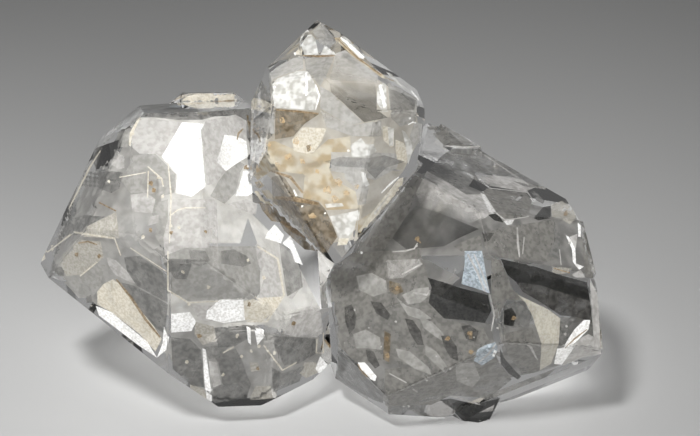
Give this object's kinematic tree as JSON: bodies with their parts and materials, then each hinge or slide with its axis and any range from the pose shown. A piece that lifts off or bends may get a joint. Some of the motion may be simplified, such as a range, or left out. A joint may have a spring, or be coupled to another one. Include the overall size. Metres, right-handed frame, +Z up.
{
  "type": "herkimer diamond",
  "caption": "Cluster of clear quartz crystals, each pointed at both ends and grown together, that rests on small flats.",
  "frame": {"origin": "on the resting surface, under the middle of the specimen's outline", "axes": "+Z up, +X to the right across the three crystals as the picture shows them, +Y away from the viewer"},
  "size_m": [0.0352, 0.0222, 0.0249],
  "materials": {
    "clear_quartz": "clear, polished by growth, with tan stains inside"
  },
  "bodies": {
    "root": {"crystal_cluster": "clear_quartz"}
  },
  "joints": []
}
